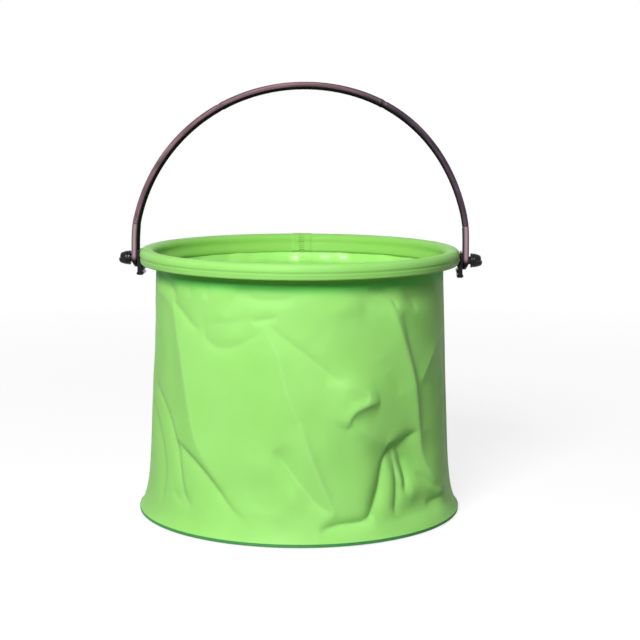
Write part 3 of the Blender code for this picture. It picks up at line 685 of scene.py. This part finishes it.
# Painted shade along the groove: darker bands by height, on the outside only.
groove_shade_ramp = tree.nodes.new("ShaderNodeValToRGB")
groove_shade_ramp.color_ramp.elements[1].color = (0, 0, 0, 1)
for stop, shade in ((0.22, 0.16), (0.42, 0.03), (0.7, 0.42)):
    groove_shade_ramp.color_ramp.elements.new(stop).color = (shade, shade, shade, 1)
tree.links.new(ranged(tree, parts.outputs["Z"], 0, 1, 0.1583, 0.1609), groove_shade_ramp.inputs["Fac"])
reach = length_of(tree, place, (1, 1, 0))
on_outside = ranged(tree, reach, 0, 1, 0.095, 0.097)
groove_shade = worked(tree, "MULTIPLY", groove_shade_ramp.outputs["Color"], on_outside)
# Painted shade: the inside of the sleeve, under the roll, is painted a deeper, darker green.
painted(tree, ranged(tree, reach, 1, 0, 0.0905, 0.0935), (0.275, 0.650, 0.110))
painted(tree, groove_shade, (0.250, 0.610, 0.125))
rim_roll.data.materials.append(rim_green)
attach(rim_roll, "rim")
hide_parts("rim_sleeve")


# The hoop and its joiner
# The hoop is a white plastic tube bent to a ring inside the sleeve. A collared plug of the same
# plastic is pushed into its two ends and joins them.
hoop_white = plastic("hoop_plastic", (0.70, 0.70, 0.66), (0.82, 0.82, 0.78),
                     drift=0.02, gloss=(0.42, 0.56), grain=0.0006, depth=0.00001)
for name in ("rim_hoop", "hoop_joiner"):
    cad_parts[name].material_slots[0].material = hoop_white


# The lugs
# Each is one black moulding: a saddle that clips round the rim, with two hooks under the lip, a
# peg into the hoop, and a split stud with a collar that the bail's eye is snapped over.
lug_black = plastic("lug_plastic", (0.005, 0.005, 0.007), (0.009, 0.009, 0.012),
                    drift=0.006, gloss=(0.20, 0.30), grain=0.0004, depth=0.00001)
lug_black.node_tree.nodes["Principled BSDF"].inputs["Specular IOR Level"].default_value = 0.22
# The height of the studs' middle, and the saddle's outline by radius and height, in mm: down
# its inner side with the two hooks, round its foot, and up its outer side.
pivot = 158.1
saddle_line = [
    (100.3, 163.2), (100.3, 159.2), (99.85, 157.4), (99.4, 156.15), (98.15, 155.72), (98.3, 154.4),
    (99.35, 153.1), (98.6, 152.6), (97.75, 151.9), (97.8, 150.95), (98.6, 150.45), (99.2, 150.1),
    (98.75, 149.3), (98.2, 148.8), (98.2, 148.15), (98.6, 147.92), (100.8, 147.92), (101.5, 148.15),
    (102.0, 148.6), (102.2, 149.1), (101.8, 149.6), (101.5, 149.9), (101.5, 163.0), (101.3, 163.4),
    (100.6, 163.4),
]


def inset(line, amount):
    """The closed line moved in by an amount along the mean normal at each point."""
    run = np.roll(line, -1, axis=0) - np.roll(line, 1, axis=0)
    away = np.stack([run[:, 1], -run[:, 0]], axis=1)
    return line + amount * away / np.linalg.norm(away, axis=1, keepdims=True)


def rod_rows(stations, sides, flat=0.0):
    """Rows round an axis along X: radius times cosine and sine at each station.

    With a flat, each row is the part of the circle above that height and its chord.
    """
    rows = []
    for along, radius in stations:
        start = math.asin(min(flat / radius, 1)) if flat else 0.0
        stop = math.pi - start if flat else math.tau * (1 - 1 / sides)
        angle = np.linspace(start, stop, sides)
        rows.append(np.stack([along + 0 * angle, radius * np.cos(angle), radius * np.sin(angle)], axis=1))
    return np.array(rows)


# Each prong of the head by distance from the axis and radius, in mm: the shoulder behind the
# eye, the collar, a groove, and the taper to its tip. The upper one is a little shorter.
head = [
    (105.3, 2.5), (106.45, 2.5), (106.6, 3.2), (106.65, 4.2), (106.85, 4.45), (107.9, 4.5), (108.1, 4.3),
    (108.2, 4.15), (108.45, 4.12), (108.6, 4.28), (108.9, 4.35), (110.6, 4.0), (112.4, 3.5), (113.3, 3.05),
    (113.75, 2.5), (113.95, 1.8),
]
short_head = [(along if along < 109 else 109 + (along - 109) * 0.86, radius) for along, radius in head]
upper, lower = rod_rows(short_head, 18, 0.14), rod_rows(head, 18, 0.14) * (1, 1, -1)
neck = rod_rows([(100.9, 2.5), (105.5, 2.5)], 24)
peg = rod_rows([(96.75, 1.3), (96.95, 1.5), (101, 1.5)], 20)
# The saddle is 16 mm wide along the rim, and its ends are softened by up to 0.2 mm.
saddle = []
for along, amount in ((-8, 0.2), (-7.94, 0.07), (-7.8, 0), (0, 0), (7.8, 0), (7.94, 0.07), (8, 0.2)):
    flat = inset(np.array(saddle_line)[::-1], amount)
    saddle.append(np.stack([flat[:, 0], along + 0 * flat[:, 0], flat[:, 1]], axis=1))
shells = [np.array(saddle)] + [shell + (0, 0, pivot) for shell in (upper, lower, neck)]
shells.append(peg + (0, 0, hoop_level))
for side, name, node in ((1, "lug_body_right", "lug_right"), (-1, "lug_body_left", "lug_left")):
    lug = closed_skin(name, *(shell * (side, side, 1) / 1000 for shell in shells), sharp=32)
    lug.data.materials.append(lug_black)
    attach(lug, "rim")
    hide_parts(node)


# The bail
# One strip of dark brown plastic moulded to a half circle, a little thicker and wider at its
# tabs and over the middle where the hand goes. Its eyes snap over the studs' collars.
arc_radius, arc_up = 104.7, 3  # in mm, the second from the pivot up to the arc's middle


def bail_line():
    """Rows of across, height, outward slope, thickness and half width along the strip.

    Each tab is half an ellipse that thins to its end, a straight run and a bend by the square
    of the share; then comes the arc. A bead at the bend's end and a bead and a notch at each
    edge of the grip are bells by angle, and the grip's extra width comes in as a steep S.
    """
    tab_across, tab_thick, tab_wide = 103.6, 3.6, 7.5
    bend_to = math.asin((22 - arc_up) / arc_radius)
    end_turn = np.radians(np.array([12, 20, 30, 40, 50, 60, 70, 80, 90]))
    thick = tab_thick - 2.9 * np.clip(np.cos(end_turn) - 0.42, 0, 1) ** 0.9
    end = np.stack([
        tab_across + (thick - tab_thick) / 2, -5.9 * np.cos(end_turn), 0 * end_turn, thick,
        tab_wide * np.sin(end_turn),
    ], axis=1)
    levels = np.arange(1.5, 9.1, 1.5)
    straight = np.array([(tab_across, level, 0, tab_thick, tab_wide) for level in levels])
    share = np.linspace(0.06, 0.97, 40)
    across = tab_across + (arc_radius * math.cos(bend_to) - tab_across) * share**2
    step = np.exp(-(((share - 0.93) / 0.028) ** 2))
    bend = np.stack([
        across, 9 + 13 * share, bend_to * share, tab_thick - 0.35 * step, tab_wide - 0.4 * step,
    ], axis=1)
    turn = np.linspace(bend_to + 0.002, math.pi / 2, 170)
    off_top = np.pi / 2 - turn

    def bell(angles, wide):
        """A bell over angles measured from its middle, wide degrees to either side."""
        return np.exp(-((angles / math.radians(wide)) ** 2))

    grip = 1 / (1 + np.exp((np.abs(off_top) - math.radians(28.5)) / math.radians(0.12)))
    bead = bell(off_top - math.radians(27.7), 0.5) + 0.7 * bell(turn - bend_to - math.radians(0.8), 0.5)
    notch = bell(off_top - math.radians(29.0), 0.4)
    arc = np.stack([
        arc_radius * np.cos(turn), arc_up + arc_radius * np.sin(turn), turn,
        3.4 + 0.15 * bead - 0.4 * notch, 7.0 + 0.45 * grip + 0.3 * bead - 0.45 * notch,
    ], axis=1)
    half = np.vstack([end, straight, bend, arc])
    other = half[:-1][::-1] * (-1, 1, 1, 1, 1)
    other[:, 2] = math.pi - other[:, 2]
    return np.vstack([half, other])


strip = bail_line()
# The right shoulder, a bell by angle up the arc about 52 degrees that starts over the tab, is
# bulged out by 2.5 mm and twisted by 3 degrees.
turn = np.degrees(np.arctan2(strip[:, 1] - arc_up, strip[:, 0]))
shoulder = np.exp(-(((turn - 52) / 30) ** 2)) * np.clip((turn - 4) / 10, 0, 1)
strip[:, :2] += 2.5 * shoulder[:, None] * np.stack([np.cos(strip[:, 2]), np.sin(strip[:, 2])], axis=1)
twist = np.radians(-3 * shoulder)[:, None]
# The cross-section is a rectangle with its four corners rounded by quarter circles, each of six
# points: a sign towards the face, a sign towards the edge, and the circle's cosine and sine.
corner = np.radians(np.linspace(0, 90, 6))
rounding = 1.35  # in mm
section = []
for out_sign, wide_sign, first in ((1, 1, 0), (-1, 1, 90), (-1, -1, 180), (1, -1, 270)):
    angle = corner + math.radians(first)
    signs = [out_sign + 0 * angle, wide_sign + 0 * angle]
    section.append(np.stack([*signs, np.cos(angle), np.sin(angle)], axis=1))
section = np.vstack(section)
half_thick, half_wide = strip[:, None, 3] / 2, strip[:, None, 4]
round_by = np.minimum(np.minimum(rounding, half_wide * 0.6), half_thick * 0.8)
outward = section[:, 0] * (half_thick - round_by) + section[:, 2] * round_by
wide = section[:, 1] * (half_wide - round_by) + section[:, 3] * round_by
cosine, sine = np.cos(twist), np.sin(twist)
outward, wide = outward * cosine + wide * sine, wide * cosine - outward * sine
slope = strip[:, None, 2]
bail_x = strip[:, None, 0] + outward * np.cos(slope)
bail_up = strip[:, None, 1] + outward * np.sin(slope)
lean = math.radians(6)
strip_grid = np.stack([
    bail_x, wide * math.cos(lean) + bail_up * math.sin(lean),
    pivot + bail_up * math.cos(lean) - wide * math.sin(lean),
], axis=-1)
bail_strip = closed_skin("bail_strip", strip_grid / 1000, sharp=45)
for side in (1, -1):
    rod = rod_rows([(100, 2.8), (108, 2.8)], 40) * (side, side, 1)
    eye = closed_skin("eye", (rod + (0, 0, pivot)) / 1000)
    cut = bail_strip.modifiers.new("eye", "BOOLEAN")
    cut.solver = "EXACT"
    cut.object = eye
    bpy.context.view_layer.objects.active = bail_strip
    bpy.ops.object.modifier_apply(modifier=cut.name)
    bpy.data.objects.remove(eye)
# Outward is 1 on the outer face and -1 on the inner one: the lean is turned back, the nearest
# row of the strip is found, and the distance from its middle along its twisted outward
# direction is divided by half its thickness.
spots = np.empty(len(bail_strip.data.vertices) * 3)
bail_strip.data.vertices.foreach_get("co", spots)
along, back, up = spots.reshape(-1, 3).T * 1000
up -= pivot
back, up = back * math.cos(lean) - up * math.sin(lean), back * math.sin(lean) + up * math.cos(lean)
row = ((along[:, None] - strip[:, 0]) ** 2 + (up[:, None] - strip[:, 1]) ** 2).argmin(axis=1)
off = (along - strip[row, 0]) * np.cos(strip[row, 2]) + (up - strip[row, 1]) * np.sin(strip[row, 2])
off = (off * np.cos(twist[row, 0]) - back * np.sin(twist[row, 0])) / strip[row, 3] * 2
store(bail_strip, "outward", off)
bail_brown = plastic("bail_plastic", (0.030, 0.016, 0.022), (0.044, 0.024, 0.032),
                     drift=0.012, gloss=(0.26, 0.38), grain=0.0005, depth=0.00001)
tree = bail_brown.node_tree
shader = tree.nodes["Principled BSDF"]
shader.inputs["Specular IOR Level"].default_value = 0.06
base = shader.inputs["Base Color"].links[0].from_socket
place = tree.nodes.new("ShaderNodeTexCoord")
centred = tree.nodes.new("ShaderNodeMapping")
centred.inputs["Location"].default_value = (0, 0, -(pivot + arc_up) / 1000)
parts = tree.nodes.new("ShaderNodeSeparateXYZ")
tree.links.new(place.outputs["Object"], centred.inputs["Vector"])
tree.links.new(centred.outputs["Vector"], parts.inputs[0])
# The streaks are noise on the distance from the arc's middle, on Y, and on a 33rd part of X, so
# they are drawn out along the strip.
threads = tree.nodes.new("ShaderNodeCombineXYZ")
tree.links.new(length_of(tree, centred.outputs["Vector"], (1, 0, 1)), threads.inputs["X"])
tree.links.new(parts.outputs["Y"], threads.inputs["Y"])
tree.links.new(worked(tree, "MULTIPLY", parts.outputs["X"], 0.03), threads.inputs["Z"])
noise = tree.nodes.new("ShaderNodeTexNoise")
noise.inputs["Scale"].default_value = 900.0
tree.links.new(threads.outputs[0], noise.inputs["Vector"])
streak = ranged(tree, noise.outputs["Fac"], 0, 1, 0.36, 0.66)
outward_share = stored(tree, "outward")
from_edge = worked(tree, "ABSOLUTE", outward_share)
# The strip's narrow sides are painted lighter in streaks as a painted highlight, dimmer to the right as
# painted shade, and the tabs' edges get a brighter painted highlight.
streaked_highlight = blended(tree, streak, (0.115, 0.060, 0.076), (0.260, 0.145, 0.180))
shaded_streaked_highlight = blended(tree, streak, (0.034, 0.024, 0.036), (0.100, 0.064, 0.092))
streaked_highlight = blended(tree, ranged(tree, parts.outputs["X"], 0, 1, 0.012, 0.060), streaked_highlight, shaded_streaked_highlight)
painted(tree, ranged(tree, from_edge, 1, 0, 0.66, 0.90), streaked_highlight)
# Painted highlight: below the step, the tabs' edges are painted a lighter mauve.
tab_highlight = blended(tree, ranged(tree, from_edge, 1, 0, 0.20, 0.96), base, (0.360, 0.235, 0.270))
painted(tree, ranged(tree, parts.outputs["Z"], 1, 0, 0.0180, 0.0186), tab_highlight)
# The inner face is dull and dark, and the tabs' lower ends are painted near black as painted shade.
underneath = ranged(tree, outward_share, 1, 0, -0.96, -0.80)
painted(tree, underneath, (0.052, 0.044, 0.056))
tree.links.new(ranged(tree, underneath, 0.09, 0, 0, 1), shader.inputs["Specular IOR Level"])
painted(tree, ranged(tree, parts.outputs["Z"], 1, 0, -0.0042, -0.0012), (0.010, 0.007, 0.010))
bail_strip.data.materials.append(bail_brown)
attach(bail_strip, "bail")
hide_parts("bail")


# The table, the backdrop, the lamp and the camera
# A white table and a white backdrop in soft light from the front left, well above the bucket.
# The camera stands a metre away and looks a little down.
table = bpy.data.meshes.new("table")
corners = [(-4, -4, -0.0003), (4, -4, -0.0003), (4, 4, -0.0003), (-4, 4, -0.0003)]
table.from_pydata(corners, [], [(0, 1, 2, 3)])
table_top = bpy.data.objects.new("table_top", table)
bpy.context.collection.objects.link(table_top)
table_white = bpy.data.materials.new("table_white")
table_white.use_nodes = True
tree = table_white.node_tree
tree.nodes.clear()


def seen(tree):
    """1 for rays that come from the camera, off a gloss or through glass, and 0 for others."""
    path = tree.nodes.new("ShaderNodeLightPath")
    total = path.outputs["Is Camera Ray"]
    for name in ("Is Glossy Ray", "Is Transmission Ray"):
        total = worked(tree, "MAXIMUM", total, path.outputs[name])
    return total


# To the camera the table glows a little under its lamp, and from 0.3 to 1 m out it goes over
# into plain white; other rays meet a duller one, so that it doesn't light the bucket.
straight_on = seen(tree)
lit = tree.nodes.new("ShaderNodeBsdfDiffuse")
matt = blended(tree, straight_on, (0.18, 0.18, 0.18), (0.26, 0.26, 0.26))
tree.links.new(matt, lit.inputs["Color"])
glow = tree.nodes.new("ShaderNodeEmission")
tree.links.new(ranged(tree, straight_on, 0, 0.82, 0, 1), glow.inputs["Strength"])
near = tree.nodes.new("ShaderNodeAddShader")
tree.links.new(lit.outputs[0], near.inputs[0])
tree.links.new(glow.outputs[0], near.inputs[1])
plain = tree.nodes.new("ShaderNodeEmission")
place = tree.nodes.new("ShaderNodeTexCoord").outputs["Object"]
faded = worked(tree, "MULTIPLY", ranged(tree, length_of(tree, place), 0, 1, 0.3, 1.0), straight_on)
choice = tree.nodes.new("ShaderNodeMixShader")
tree.links.new(faded, choice.inputs[0])
tree.links.new(near.outputs[0], choice.inputs[1])
tree.links.new(plain.outputs[0], choice.inputs[2])
surface = tree.nodes.new("ShaderNodeOutputMaterial")
tree.links.new(choice.outputs[0], surface.inputs["Surface"])
table.materials.append(table_white)

world = bpy.data.worlds.new("backdrop")
bpy.context.scene.world = world
world.use_nodes = True
tree = world.node_tree
backdrop = tree.nodes["Background"]
tree.links.new(ranged(tree, seen(tree), 0.14, 1.0, 0, 1), backdrop.inputs["Strength"])
backdrop.inputs["Color"].default_value = (1, 1, 1, 1)

# A square lamp aimed at the bucket's middle, 0.1 m up: its distance times the cosines and sines
# of its bearing from the front and of its height angle gives its place.
key_data = bpy.data.lights.new("key", "AREA")
key_data.size = 0.55
key_data.energy = 28.2
key = bpy.data.objects.new("key", key_data)
bpy.context.collection.objects.link(key)
aside, raised_by, distance = math.radians(-14.5), math.radians(33), 1.6
flat = distance * math.cos(raised_by)
key.location = (flat * math.sin(aside), -flat * math.cos(aside), 0.1 + distance * math.sin(raised_by))
key.rotation_euler = (math.pi / 2 - raised_by, 0, aside)

# The lens is 1601 pixels long on a picture 640 wide. The camera looks down by its pitch and
# aside by its yaw, rolls by its tilt, and all of that is turned about Z by its bearing.
camera_data = bpy.data.cameras.new("camera")
camera_data.sensor_width = 36
camera_data.lens = 36 * 1601 / 640
camera = bpy.data.objects.new("camera", camera_data)
bpy.context.collection.objects.link(camera)
bpy.context.scene.camera = camera
camera.location = (0.05234, -0.99863, 0.2644)
pitch, yaw, tilt, bearing = (math.radians(degrees) for degrees in (8.25, 0.73, 0.25, 3.0))
ahead = np.array([math.sin(yaw) * math.cos(pitch), math.cos(yaw) * math.cos(pitch), -math.sin(pitch)])
right = np.array([math.cos(yaw), -math.sin(yaw), 0])
above = np.cross(right, ahead)
cosine, sine = math.cos(tilt), math.sin(tilt)
right, above = cosine * right + sine * above, cosine * above - sine * right
cosine, sine = math.cos(bearing), math.sin(bearing)
turned_by = np.array([[cosine, -sine, 0], [sine, cosine, 0], [0, 0, 1]])
axes = turned_by @ np.stack([right, above, -ahead], axis=1)
camera.rotation_mode = "QUATERNION"
camera.rotation_quaternion = Matrix(axes.tolist()).to_quaternion()
bpy.context.scene.view_settings.view_transform = "Standard"
